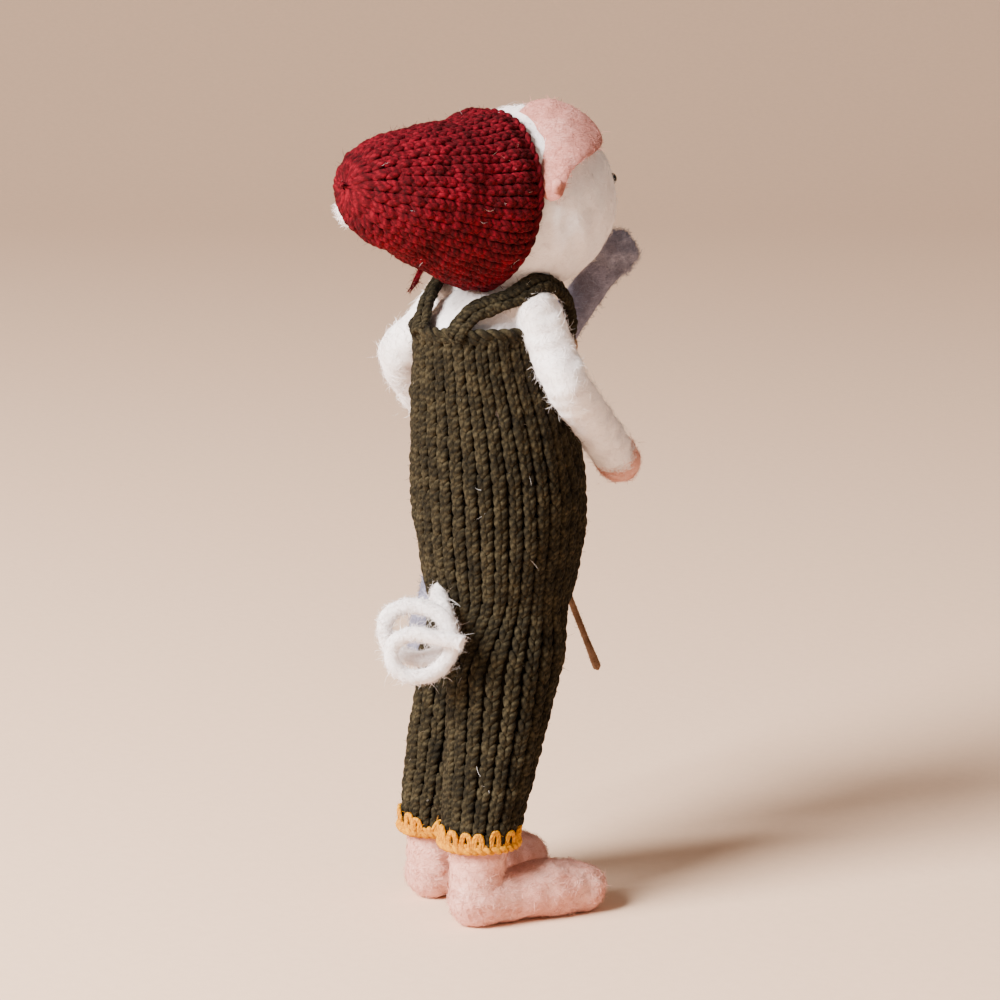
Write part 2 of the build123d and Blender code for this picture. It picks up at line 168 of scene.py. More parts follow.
def maths(nodes, links, operation, *values):
    """The output of a maths node; each value is a number or another node's output."""
    made = node(nodes, "ShaderNodeMath", operation=operation)
    for socket, value in zip(made.inputs, values):
        if isinstance(value, float):
            socket.default_value = value
        else:
            links.new(value, socket)
    return made.outputs[0]


def noise(nodes, links, place=None, **values):
    """The output of a noise texture in the piece's own coordinates, or in the given ones."""
    place = place or node(nodes, "ShaderNodeTexCoord").outputs["Object"]
    made = node(nodes, "ShaderNodeTexNoise", **values)
    links.new(place, made.inputs["Vector"])
    return made.outputs["Fac"]


def dye(nodes, links, shader, source, stops):
    """The shader's colour, read from a ramp."""
    tone = ramp(nodes, stops)
    links.new(source, tone.inputs["Fac"])
    links.new(tone.outputs["Color"], shader.inputs["Base Color"])


def relief(nodes, links, shader, source, strength):
    """Fine relief in the shader, from the same texture as its colour."""
    bump = node(nodes, "ShaderNodeBump", Strength=strength, Distance=0.0004)
    links.new(source, bump.inputs["Height"])
    links.new(bump.outputs["Normal"], shader.inputs["Normal"])


def felt_material(name, shade, body, light, sheen=0.35):
    """Needle felt: mottled wool with fine fibres lying all ways."""
    mat, nodes, links, shader = new_material(name)
    mottle = noise(nodes, links, Scale=140.0, Detail=6.0, Roughness=0.65)
    stretch = node(nodes, "ShaderNodeMapping", Scale=(900, 900, 4200), Rotation=(0.5, 0.4, 0.3))
    links.new(node(nodes, "ShaderNodeTexCoord").outputs["Object"], stretch.inputs["Vector"])
    fibre = noise(nodes, links, stretch.outputs["Vector"], Scale=1.0, Detail=4.0, Roughness=0.7,
                  Distortion=1.5)
    mix = maths(nodes, links, "MULTIPLY_ADD", fibre, 0.5, maths(nodes, links, "MULTIPLY", mottle, 0.5))
    dye(nodes, links, shader, mix, [(0.3, shade), (0.5, body), (0.68, light)])
    shader.inputs["Roughness"].default_value = 0.95
    shader.inputs["Specular IOR Level"].default_value = 0.15
    shader.inputs["Sheen Weight"].default_value = sheen
    shader.inputs["Sheen Roughness"].default_value = 0.6
    shader.inputs["Sheen Tint"].default_value = (*light, 1)
    relief(nodes, links, shader, mix, 0.55)
    return mat


def yarn_material(name, shade, body, light, sheen=0.1):
    """Plied wool: two strands twisted round each other along the yarn, with a mottled dye. The twist also
    darkens the colour in its grooves, as painted shade.
    """
    mat, nodes, links, shader = new_material(name)
    split = node(nodes, "ShaderNodeSeparateXYZ")
    links.new(node(nodes, "ShaderNodeUVMap", uv_map="yarn").outputs["UV"], split.inputs[0])
    twist = maths(nodes, links, "ADD", split.outputs["X"], split.outputs["Y"])
    wave = maths(nodes, links, "SINE", maths(nodes, links, "MULTIPLY", twist, 4 * pi))
    fuzz = noise(nodes, links, Scale=1500.0, Detail=4.0, Roughness=0.7)
    mottle = noise(nodes, links, Scale=220.0, Detail=3.0)
    # the twist's wave goes into the colour as well as the relief: painted shade in the grooves between the
    # plies
    ply = maths(nodes, links, "MULTIPLY_ADD", wave, 0.13, fuzz)
    mix = maths(nodes, links, "MULTIPLY_ADD", mottle, 0.5, maths(nodes, links, "MULTIPLY", ply, 0.5))
    dye(nodes, links, shader, mix, [(0.32, shade), (0.5, body), (0.7, light)])
    shader.inputs["Roughness"].default_value = 0.92
    shader.inputs["Specular IOR Level"].default_value = 0.12
    shader.inputs["Sheen Weight"].default_value = sheen
    shader.inputs["Sheen Roughness"].default_value = 0.5
    shader.inputs["Sheen Tint"].default_value = (*light, 1)
    relief(nodes, links, shader, ply, 0.7)
    return mat


def bead_material(name, body, light, roughness):
    """A small hard piece with a faint mottle."""
    mat, nodes, links, shader = new_material(name)
    grain = noise(nodes, links, Scale=700.0, Detail=3.0, Distortion=0.8)
    dye(nodes, links, shader, grain, [(0.35, body), (0.65, light)])
    shader.inputs["Roughness"].default_value = roughness
    return mat


def steel_material():
    """Drawn armature wire."""
    mat, nodes, links, shader = new_material("steel_wire")
    drawn = noise(nodes, links, Scale=2500.0, Detail=2.0)
    dye(nodes, links, shader, drawn, [(0.3, (0.42, 0.42, 0.43)), (0.7, (0.62, 0.62, 0.63))])
    shader.inputs["Metallic"].default_value = 1.0
    shader.inputs["Roughness"].default_value = 0.35
    return mat


def floor_material():
    """Plain warm paper."""
    mat, nodes, links, shader = new_material("floor_paper")
    grain = noise(nodes, links, Scale=300.0, Detail=3.0)
    dye(nodes, links, shader, grain, [(0.3, (0.79, 0.54, 0.375)), (0.7, (0.82, 0.565, 0.395))])
    shader.inputs["Roughness"].default_value = 0.9
    return mat


WHITE = felt_material("white_felt", (0.66, 0.58, 0.57), (0.86, 0.80, 0.79), (0.97, 0.94, 0.94))
PINK = felt_material("pink_felt", (0.42, 0.17, 0.125), (0.68, 0.34, 0.27), (0.82, 0.53, 0.46))
EAR = felt_material("ear_felt", (0.22, 0.08, 0.06), (0.44, 0.175, 0.14), (0.66, 0.35, 0.31))
GREY = felt_material("grey_felt", (0.07, 0.065, 0.09), (0.16, 0.155, 0.21), (0.36, 0.35, 0.46))
PALE_GREY = felt_material("pale_grey_felt", (0.12, 0.11, 0.14), (0.26, 0.25, 0.32), (0.52, 0.51, 0.62))
BROWN = felt_material("brown_felt", (0.05, 0.022, 0.010), (0.13, 0.062, 0.032), (0.26, 0.15, 0.09))
OLIVE = yarn_material("olive_knit", (0.003, 0.0022, 0.001), (0.0145, 0.0108, 0.005), (0.050, 0.039, 0.020))
# painted shade: a darker olive with no sheen for the sheet under the dungarees' stitches, standing in for the
# shade between them
OLIVE_PAINTED_SHADE = yarn_material("olive_painted_shade",
                           (0.004, 0.003, 0.0015), (0.012, 0.009, 0.004), (0.03, 0.024, 0.011), 0.0)
# painted shade: a dimmer red with no sheen for the sheet under the hat's stitches, standing in for the shade
# between them
RED_PAINTED_SHADE = yarn_material("red_painted_shade",
                         (0.02, 0.0003, 0.001), (0.06, 0.001, 0.003), (0.12, 0.003, 0.008), 0.0)
MUSTARD = yarn_material("mustard_yarn", (0.26, 0.08, 0.0005), (0.54, 0.21, 0.0005), (0.72, 0.34, 0.003))
RED = yarn_material("red_knit", (0.014, 0.0001, 0.0007), (0.062, 0.0003, 0.003), (0.17, 0.0015, 0.010))
WHITE_FIBRE = felt_material("white_fibre", (0.80, 0.75, 0.74), (0.90, 0.86, 0.85), (0.97, 0.95, 0.95))
BLACK = bead_material("black_bead", (0.004, 0.004, 0.004), (0.012, 0.011, 0.010), 0.12)
WOOD = bead_material("wood_button", (0.22, 0.11, 0.045), (0.36, 0.20, 0.09), 0.5)
STEEL = steel_material()


# ---- mesh building ----
class Soup:
    """Points and four-sided faces gathered for one piece, in millimetres."""

    def __init__(self):
        self.points, self.quads, self.count = [], [], 0

    def add(self, points, quads, slot=0, uv=None):
        """Add a batch of points with its faces; uv has one pair for each point."""
        points = np.asarray(points, float).reshape(-1, 3)
        uv = np.zeros((len(points), 2)) if uv is None else np.asarray(uv, float).reshape(-1, 2)
        self.points.append(np.hstack([points, uv]))
        self.quads.append((quads + self.count, slot))
        self.count += len(points)

    def build(self, name, materials):
        """Make the Blender object."""
        data = np.vstack(self.points)
        faces = np.vstack([quads for quads, _ in self.quads])
        slots = np.concatenate([np.full(len(quads), slot) for quads, slot in self.quads])
        loops, starts = faces.ravel(), 4 * np.arange(len(faces))
        mesh = bpy.data.meshes.new(name)
        mesh.vertices.add(len(data))
        mesh.vertices.foreach_set("co", ((data[:, :3] + MIDDLE) * MM).ravel())
        mesh.loops.add(len(loops))
        mesh.loops.foreach_set("vertex_index", loops)
        mesh.polygons.add(len(starts))
        mesh.polygons.foreach_set("loop_start", starts)
        mesh.polygons.foreach_set("loop_total", np.full(len(starts), 4))
        mesh.polygons.foreach_set("material_index", slots)
        mesh.polygons.foreach_set("use_smooth", np.ones(len(starts), bool))
        layer = mesh.uv_layers.new(name="yarn")
        layer.data.foreach_set("uv", data[loops, 3:5].ravel())
        mesh.update(calc_edges=True)
        mesh.validate()
        for material in materials:
            mesh.materials.append(material)
        piece = bpy.data.objects.new(name, mesh)
        bpy.context.collection.objects.link(piece)
        return piece


def settle(piece, slot, body, *nodes):
    """Give a piece its body, in place of its plain CAD nodes. The slot is not used."""
    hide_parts(*nodes)
    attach(piece, body)


def coil(count):
    """The angles of a closed ring of points."""
    return np.linspace(0, 2 * pi, count, endpoint=False)


def run_of(path):
    """The distance along a path at each of its points."""
    return np.concatenate([[0], np.cumsum(np.linalg.norm(np.diff(path, axis=0), axis=1))])


def at_run(places, run, table):
    """The rows of a table of three columns, read at places along a run."""
    return np.stack([np.interp(places, run, table[:, k]) for k in range(3)], -1)


def round_cap(places):
    """0 to 1 as the profile of a round end, for places from 0 at the tip to 1 where it is full."""
    return np.sqrt(np.clip(1 - (1 - np.clip(places, 0, 1)) ** 2, 0, 1))


def grid_faces(rows, columns, closed=False):
    """Quads of a grid of points; closed joins the last column to the first."""
    across = np.arange(columns if closed else columns - 1)
    up = np.arange(rows - 1)[:, None]
    after = (across + 1) % columns
    return np.stack([up * columns + across, up * columns + after, (up + 1) * columns + after,
                     (up + 1) * columns + across], axis=-1).reshape(-1, 4)


def unit(vectors):
    """Vectors brought to length 1."""
    return vectors / np.maximum(np.linalg.norm(vectors, axis=-1, keepdims=True), 1e-9)


def smooth_step(value):
    """0 to 1 with gentle ends."""
    value = np.clip(value, 0, 1)
    return value * value * (3 - 2 * value)


def smooth_path(points, count):
    """Count points along a smooth curve through the given ones."""
    points = np.array(points, float)
    padded = np.vstack([2 * points[0] - points[1], points, 2 * points[-1] - points[-2]])
    places = np.linspace(0, len(points) - 1, count)
    span = np.minimum(places.astype(int), len(points) - 2)
    t = (places - span)[:, None]
    a, b, c, d = (padded[span + k] for k in range(4))
    return 0.5 * (2 * b + (c - a) * t + (2 * a - 5 * b + 4 * c - d) * t ** 2
                  + (3 * b - a - 3 * c + d) * t ** 3)


def wobble(points, size, amount, seed=0):
    """Smooth lumps for a set of points: waves of about the given size, in millimetres."""
    lumps = np.random.default_rng(seed)
    total = np.zeros(points.shape[:-1])
    for octave in range(7):
        wave = lumps.normal(size=3)
        wave = wave / np.linalg.norm(wave) * 2 * pi / (size * (0.55 + 0.75 * lumps.random()))
        total += np.sin(points @ wave + lumps.random() * 2 * pi)
    return total * amount / 3.5


def path_frames(path, up=(0, 0, 1)):
    """Two directions square to a path at each of its points."""
    along = unit(np.gradient(path, axis=0))
    side = np.zeros_like(path)
    ref = np.array(up, float)
    if abs(along[0] @ ref) > 0.9:
        ref = np.array([1.0, 0, 0])
    side[0] = unit(np.cross(along[0], ref))
    for i in range(1, len(path)):
        side[i] = unit(side[i - 1] - along[i] * (side[i - 1] @ along[i]))
    return side, np.cross(along, side)


def limb(soup, path, radii, sides=36, flat=1.0, lumps=0.25, seed=0, up=(0, 0, 1)):
    """A closed felt limb round a path, with lumps; radii has one value for each path point."""
    side, over = path_frames(path, up)
    angle = coil(sides)
    ring = (np.cos(angle)[None, :, None] * side[:, None]
            + flat * np.sin(angle)[None, :, None] * over[:, None])
    points = path[:, None] + ring * np.asarray(radii)[:, None, None]
    points = points + ring * wobble(points, 7.0, lumps, seed)[..., None]
    uv = np.stack(np.broadcast_arrays(np.linspace(0, len(path) / 4, len(path))[:, None],
                                      angle[None] / (2 * pi)), -1)
    soup.add(points, grid_faces(len(path), sides, True), uv=uv)


CAP_RINGS = 9


def even_ends(path, first, last):
    """A path with more points close to its two ends, so that round caps come out smooth."""
    run = run_of(path)
    head = first * (1 - np.cos(np.linspace(0, pi / 2, CAP_RINGS)))
    tail = run[-1] - last * (1 - np.cos(np.linspace(0, pi / 2, CAP_RINGS)))
    middle = np.linspace(first, run[-1] - last, max(len(path), 12))[1:-1]
    places = np.concatenate([head, middle, tail[::-1]])
    return at_run(places, run, path), places


def felt_limb(soup, keys, widths, first=None, last=None, **extra):
    """A felt limb through key points with a width at each, and a round end beyond the first and last."""
    path = smooth_path(keys, 120)
    first = widths[0] if first is None else first
    last = widths[-1] if last is None else last
    path = np.vstack([path[0] - unit(path[1] - path[0]) * first, path,
                      path[-1] + unit(path[-1] - path[-2]) * last])
    length = run_of(path)[-1]
    path, places = even_ends(path, max(first, 0.01), max(last, 0.01))
    body = np.interp(places - first, np.linspace(0, length - first - last, len(widths)), widths)
    cap = round_cap(places / first) if first else 1.0
    end = round_cap((length - places) / last) if last else 1.0
    limb(soup, path, np.maximum(body * cap * end, 0.02), **extra)


def fibres(soup, count, length, lift, slot, seed, width=0.055, keep=None):
    """Loose fibres: thin tapering ribbons that leave the surface built so far and curl over it."""
    data = np.vstack(soup.points)[:, :3]
    quads = np.vstack([faces for faces, _ in soup.quads])
    a, b, c, d = (data[quads[:, k]] for k in range(4))
    normal = np.cross(c - a, d - b)
    area = np.linalg.norm(normal, axis=1)
    normal = unit(normal)
    pick = np.random.default_rng(seed)
    middle = (a + b + c + d) / 4
    if keep is not None:
        area = area * keep(middle)
    chosen = pick.choice(len(quads), size=count, p=area / area.sum())
    mix = pick.random((count, 2, 1))
    root = ((a[chosen] * (1 - mix[:, 0]) + b[chosen] * mix[:, 0]) * (1 - mix[:, 1])
            + (d[chosen] * (1 - mix[:, 0]) + c[chosen] * mix[:, 0]) * mix[:, 1])
    out = normal[chosen]
    run = unit(np.cross(out, pick.normal(size=(count, 3))))
    bend = unit(np.cross(out, run))
    reach = length * (0.45 + 0.9 * pick.random((count, 1)))
    rise = lift * (0.2 + 1.3 * pick.random((count, 1)) ** 2)
    curl = pick.normal(size=(count, 1)) * 0.35
    steps = np.linspace(0, 1, 5)
    spine = np.stack([root - out * 0.12 + run * reach * t * 0.75 + bend * reach * curl * t * t
                      + out * rise * np.sin(t * pi * (0.55 + 0.25 * curl)) for t in steps], 1)
    across = unit(np.cross(spine[:, -1] - spine[:, 0], out + pick.normal(size=(count, 3)) * 0.5))[:, None]
    taper = (width * np.array([1, 1, 0.85, 0.6, 0.12]))[None, :, None]
    points = np.stack([spine - across * taper, spine + across * taper], 2).reshape(count, -1, 3)
    one = np.array([[2 * k, 2 * k + 1, 2 * k + 3, 2 * k + 2] for k in range(len(steps) - 1)])
    quads = (one[None] + (np.arange(count) * 2 * len(steps))[:, None, None]).reshape(-1, 4)
    soup.add(points, quads, slot=slot)


# ---- knitting ----
# Each leg of a stitch: places along it, and how thick the yarn is there
STITCH_T = np.array([0, 0.14, 0.32, 0.5, 0.68, 0.86, 1.0])
STITCH_FAT = np.array([0.7, 0.92, 1.05, 1.1, 1.05, 0.9, 0.66])


def yarn_tubes(soup, paths, radii, outward, sides=7, turns=1.6):
    """Many short tubes at once: paths (n, k, 3), radii (n, k) and an outward direction for each point."""
    along = unit(np.gradient(paths, axis=1))
    side = unit(np.cross(along, outward))
    over = np.cross(side, along)
    angle = coil(sides)
    ring = (np.cos(angle)[None, None, :, None] * side[:, :, None]
            + np.sin(angle)[None, None, :, None] * over[:, :, None])
    points = paths[:, :, None] + ring * radii[:, :, None, None]
    count, length = paths.shape[:2]
    one = grid_faces(length, sides, True)
    quads = (one[None] + (np.arange(count) * length * sides)[:, None, None]).reshape(-1, 4)
    uv = np.broadcast_arrays(np.linspace(0, turns, length)[None, :, None]
                             + rng.random((count, 1, 1)), angle[None, None] / (2 * pi))
    soup.add(points, quads, uv=np.stack(uv, -1))


def on_surface(surface, c, h, depth):
    """Points at a depth off a surface given by its two coordinates, with the outward direction."""
    here = surface(c, h)
    across = surface(c + 1e-3, h) - here
    up = surface(c, h + 1e-2) - here
    out = unit(np.cross(across, up))
    return here + out * depth[..., None], out


def knit(soup, surface, columns, heights, yarn, deep=0.55):
    """Stocking stitch: for each stitch two slanting legs of yarn that meet in a V.

    surface(c, h) gives a point for c from 0 to 1 across and h in its own height unit; heights are the rows.
    """
    row = np.abs(np.diff(heights)).mean() * np.sign(heights[1] - heights[0])
    col, base = np.meshgrid((np.arange(columns) + 0.5) / columns, heights[:-1])
    col, base = col.ravel()[:, None], base.ravel()[:, None]
    count = len(col)
    for way in (-1, 1):
        jitter = rng.normal(size=(4, count, 1))
        c = col + way * (0.03 + 0.27 * smooth_step(STITCH_T)[None] + 0.02 * jitter[0]) / columns
        h = base + row * (-0.42 + 1.5 * STITCH_T[None] + 0.07 * jitter[1])
        depth = yarn * (deep * np.sin(pi * STITCH_T)[None] ** 0.8 - 1.0 + 0.10 * jitter[2])
        paths, out = on_surface(surface, c, h, depth)
        fat = yarn * (1 + 0.09 * jitter[3]) * STITCH_FAT[None]
        yarn_tubes(soup, paths, fat, out)


def backing(soup, surface, columns, heights, depth, slot=0):
    """The close inner face of the knitting, seen between the stitches. Given a darker material, it is painted
    shade there.
    """
    c, h = np.meshgrid(np.linspace(0, 1, columns), heights)
    points, out = on_surface(surface, c, h, np.full(c.shape, depth))
    soup.add(points, grid_faces(len(heights), columns), slot=slot)


def chain(soup, ring, radius, wind, turns):
    """A crocheted chain: two strands wound round each other along a closed ring of points."""
    side = unit(ring - ring.mean(0))
    over = np.cross(unit(np.gradient(np.vstack([ring[-1], ring, ring[0]]), axis=0))[1:-1], side)
    phase = np.linspace(0, 2 * pi * turns, len(ring), endpoint=False)
    outward = np.vstack([side, side[:1]])
    for start in (0, pi):
        strand = (ring + side * (np.cos(phase + start) * wind)[:, None]
                  + over * (np.sin(phase + start) * wind)[:, None])
        path = np.vstack([strand, strand[:1]])
        fat = radius * (1 + 0.12 * np.sin(np.linspace(0, 1, len(path)) * 2 * pi * turns * 0.77 + start))
        yarn_tubes(soup, path[None], fat[None], outward[None] + 0.01, sides=8, turns=turns * 1.3)


# ---- dungarees ----
def turned(x, y):
    """A point of the hip's own directions, placed in the frame."""
    return x * cos(HIP_TWIST) - y * sin(HIP_TWIST), x * sin(HIP_TWIST) + y * cos(HIP_TWIST)


def through(sections, column, height):
    """A smooth curve through one column of a short table of sections."""
    heights = [row[0] for row in sections]
    fit = np.polyfit(heights, [row[column] for row in sections], len(sections) - 1)
    return np.polyval(fit, np.clip(height, heights[0], heights[-1]))


def garment_surface(side):
    """One half of the dungarees as a surface: c runs from front to back round the outside, h is height."""
    sign = SIDES[side]

    def surface(c, h):
        around = (c - 0.5) * pi
        radius, middle = through(TRUNK, 2, h), through(TRUNK, 1, h)
        tx, ty = turned(sign * radius * np.cos(around), radius * np.sin(around))
        full = around * 2
        lx = through(LEG[side], 1, h) + sign * through(LEG[side], 3, h) * np.cos(full)
        ly = through(LEG[side], 2, h) + through(LEG[side], 4, h) * np.sin(full)
        lx, ly = turned(lx, ly)
        share = smooth_step((CROTCH_TOP - h) / (CROTCH_TOP - CROTCH_LOW))
        x, y = tx * (1 - share) + lx * share, (ty + middle) * (1 - share) + ly * share
        points = np.stack([x, y, h + 0 * c], -1)
        sag = wobble(points, 16.0, 0.35, seed=3)
        points[..., :2] += unit(points[..., :2]) * sag[..., None]
        return points

    return surface if sign > 0 else lambda c, h: surface(1 - c, h)


def make_garment(side):
    """One half of the dungarees: trunk and trouser leg knitted in one run of columns."""
    surface = garment_surface(side)
    low, top = LEG[side][0][0] + 0.4, TRUNK[-1][0]
    rows = np.linspace(low, top, int(round((top - low) / ROW)) + 1)
    soup = Soup()
    # the sheet under the stitches takes the darker olive of slot 2: painted shade between the stitches
    backing(soup, surface, HALF_COLUMNS * 3, np.linspace(low - 1, top + 0.4, 70), -1.9, slot=2)
    knit(soup, surface, HALF_COLUMNS, rows, yarn=0.93)
    fibres(soup, 5200, 2.6, 0.75, 0, seed=11 + SIDES[side])
    fibres(soup, 90, 3.8, 1.1, 1, seed=21 + SIDES[side], width=0.025)
    piece = soup.build(f"dungarees_{side}", [OLIVE, WHITE_FIBRE, OLIVE_PAINTED_SHADE])
    nodes = [f"trouser_leg_{side}", f"leg_felt_{side}"]
    if side == "right":
        nodes.append("dungarees_trunk")
    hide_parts(*nodes)
    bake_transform(piece)


def ring_points(centre, radius, count, height):
    """Points round a level circle."""
    angle = coil(count)
    return np.stack([centre[0] + radius * np.cos(angle), centre[1] + radius * np.sin(angle),
                     np.full(count, height)], 1)


def make_cuff(side):
    """The crocheted mustard edging: a chain under the cuff, and loops that reach up over the knitting."""
    low, high = box_mm(f"cuff_trim_{side}")
    centre, radius = (low + high)[:2] / 2, (high - low)[0] / 2
    height = high[2]
    soup = Soup()
    chain(soup, ring_points(centre, radius - 0.5, 220, height - 0.9), 0.78, 0.55, turns=15)
    chain(soup, ring_points(centre, radius - 0.9, 220, height + 0.3), 0.62, 0.4, turns=19)
    loops = 15
    for number in range(loops):
        angle = 2 * pi * (number + 0.22 * rng.normal()) / loops
        tall = 4.4 * (0.8 + 0.35 * rng.random())
        half = 1.15 * (0.8 + 0.5 * rng.random()) / radius
        swing = rng.normal() * 0.03
        steps = np.linspace(0, 1, 13)
        around = angle + half * np.cos(pi * steps) + swing * np.sin(pi * steps)
        rise = height - 0.6 + tall * np.sin(pi * steps) ** 0.75
        off = radius - 0.35 + 0.55 * np.sin(pi * steps)
        path = np.stack([centre[0] + off * np.cos(around), centre[1] + off * np.sin(around), rise], 1)
        outward = path - np.append(centre, 0) * (1, 1, 0)
        outward[:, 2] = 0
        for shift in (-0.3, 0.3):
            spread = path + np.stack([-np.sin(around), np.cos(around), 0 * around], 1) * shift
            fat = 0.5 * (1 + 0.1 * rng.normal()) * np.ones(len(steps))
            yarn_tubes(soup, spread[None], fat[None], unit(outward)[None], sides=8, turns=3)
    fibres(soup, 900, 2.0, 0.6, 0, seed=31 + SIDES[side])
    settle(soup.build(f"cuff_{side}", [MUSTARD]), "mustard_yarn", f"leg_{side}", f"cuff_trim_{side}")


def make_edging():
    """The rolled chain edge round the top of the bib and back."""
    low, high = box_mm("dungarees_trunk")
    front, back = box_mm("edging_front"), box_mm("edging_back")
    centre = np.array([0.0, (front[0][1] + back[1][1]) / 2])
    radius = (back[1][1] - front[0][1]) / 2
    ring = ring_points(centre, radius - 1.1, 260, high[2] + 0.7)
    soup = Soup()
    chain(soup, ring, 0.95, 0.75, turns=17)
    chain(soup, ring + (0, 0, -1.5), 0.8, 0.5, turns=21)
    fibres(soup, 900, 2.2, 0.7, 0, seed=41)
    settle(soup.build("edging", [OLIVE]), "olive_knit", "torso", "edging_front", "edging_back")


STRAP = {
    "right": [(-9.2, 23.0, 160), (-11.5, 17.5, 166.7), (-16, 8.5, 170.1), (-18, 1, 173.7),
              (-17, -7, 170.6), (-13.6, -13.4, 162), (-12, -13.0, 153)],
    "left": [(2.5, 25.0, 160), (7, 19.5, 166.7), (14.5, 10.5, 170.1), (18, 3, 173.7),
             (17, -5.5, 170.6), (13.6, -12.8, 162), (12, -13.2, 153)],
}


def make_strap(side):
    """A narrow knitted strap, flat and two stitches wide on each face."""
    path = smooth_path(STRAP[side], 90)
    away = path - np.array([0, 2.0, 150.0])
    along = unit(np.gradient(path, axis=0))
    out = unit(away - along * np.sum(away * along, 1, keepdims=True))
    wide = np.cross(along, out)
    run = run_of(path)

    def surface(c, h):
        at = [at_run(h, run, table) for table in (path, out, wide)]
        angle = -2 * pi * c
        return at[0] + at[2] * (2.7 * np.cos(angle))[..., None] + at[1] * (1.25 * np.sin(angle))[..., None]

    soup = Soup()
    rows = np.linspace(0, run[-1], int(run[-1] / 2.3))
    backing(soup, surface, 24, rows, -0.8)
    knit(soup, surface, 5, rows, yarn=0.86)
    fibres(soup, 500, 2.2, 0.7, 0, seed=51 + SIDES[side])
    settle(soup.build(f"knitted_strap_{side}", [OLIVE]), "olive_knit", "torso", f"strap_{side}")


# ---- hat ----
HAT_AXIS = np.array([0, cos(HAT_RISE), sin(HAT_RISE)])
HAT_UP = np.array([0, -sin(HAT_RISE), cos(HAT_RISE)])
RIM_AT = HEAD_AT + HAT_AXIS * HAT_RIM


def hat_surface(c, h):
    """The hat: c runs round it, h is the distance back from the rim."""
    angle = 2 * pi * c
    radius, lift, lean = (np.interp(h, HAT_SHAPE[:, 0], HAT_SHAPE[:, k]) for k in (1, 2, 3))
    radius = radius + 0.4 * np.interp(h, [0, 6, 14, 22, 30, 37, 44, 47], [0, 1, 0, 0.6, 0.4, 0.8, 0.9, 0])
    x, up = radius * np.cos(angle), radius * np.sin(angle)
    points = (RIM_AT + HAT_AXIS * h[..., None] - np.array([1.0, 0, 0]) * (x - lean)[..., None]
              + HAT_UP * (up + lift)[..., None])
    return points + unit(points - RIM_AT - HAT_AXIS * h[..., None]) * wobble(points, 15.0, 0.4, 5)[..., None]


def make_hat():
    """The red hat, knitted from its rim to its gathered tip."""
    soup = Soup()
    # the sheet under the stitches takes the dimmer red of slot 2: painted shade between the stitches
    backing(soup, hat_surface, 120, np.linspace(0.8, 46.9, 60), -1.2, slot=2)
    knit(soup, hat_surface, 44, np.linspace(1.6, 26.2, 10), yarn=0.84, deep=0.75)
    knit(soup, hat_surface, 34, np.linspace(26.2, 39.2, 6), yarn=0.84, deep=0.75)
    knit(soup, hat_surface, 20, np.linspace(39.2, 46.4, 4), yarn=0.88, deep=0.75)
    rim = hat_surface(np.linspace(0, 1, 240, endpoint=False), np.full(240, 0.9))
    chain(soup, rim, 0.8, 0.45, turns=22)
    fibres(soup, 5200, 3.0, 1.0, 0, seed=61)
    fibres(soup, 60, 4.6, 1.6, 1, seed=62, width=0.025)
    settle(soup.build("knitted_hat", [RED, WHITE_FIBRE, RED_PAINTED_SHADE]), "red_knit", "hat", "hat_knit", "hat_brim")


def make_yarn_end():
    """The loose end of the hat's yarn, frayed at its tip."""
    low, high = box_mm("hat_yarn_end")
    start = np.array([(low[0] + high[0]) / 2, low[1] - 0.5, high[2] + 1.2])
    keys = start + np.array([(0, 0, 0), (0.6, 1.2, -2.6), (1.2, 2.4, -5.0), (1.0, 4.4, -7.4)])
    soup = Soup()
    for _ in range(5):
        spread = rng.normal(size=(4, 3)) * (0.25, 0.25, 0.2) * np.arange(4)[:, None] ** 0.7
        path = smooth_path(keys + spread, 24)
        fat = np.linspace(0.42, 0.08, 24)
        yarn_tubes(soup, path[None], fat[None], np.tile([1.0, 0.2, 0], (1, 24, 1)), sides=6, turns=8)
    fibres(soup, 260, 2.4, 0.8, 0, seed=65)
    settle(soup.build("hat_yarn", [RED]), "red_knit", "hat", "hat_yarn_end")


def ball(soup, centre, radii, lumps, seed, rows=28, columns=40):
    """A lumpy felt ball."""
    polar, angle = np.meshgrid(np.linspace(0.01, pi - 0.01, rows), coil(columns), indexing="ij")
    way = np.stack([np.sin(polar) * np.cos(angle), np.sin(polar) * np.sin(angle), np.cos(polar)], -1)
    points = np.array(centre) + way * np.array(radii)
    points = points + way * wobble(points, 4.0, lumps, seed)[..., None]
    soup.add(points, grid_faces(rows, columns, True)[:, ::-1])


def make_bobble():
    """The small white wool bobble at the hat's tip."""
    soup = Soup()
    ball(soup, centre_mm("hat_bobble") + (-0.4, -1.0, -0.6), (3.3, 3.4, 3.4), lumps=0.35, seed=70)
    fibres(soup, 1500, 2.2, 1.0, 0, seed=71)
    settle(soup.build("wool_bobble", [WHITE]), "white_felt", "hat", "hat_bobble")


# ---- head ----
def head_place(points):
    """Points of the head's own frame (face to -Y) placed on the doll."""
    roll = np.array([[cos(HEAD_ROLL), 0, sin(HEAD_ROLL)], [0, 1, 0], [-sin(HEAD_ROLL), 0, cos(HEAD_ROLL)]])
    turn = np.array([[cos(HEAD_TURN), -sin(HEAD_TURN), 0], [sin(HEAD_TURN), cos(HEAD_TURN), 0], [0, 0, 1]])
    return points @ (turn @ roll).T + HEAD_AT


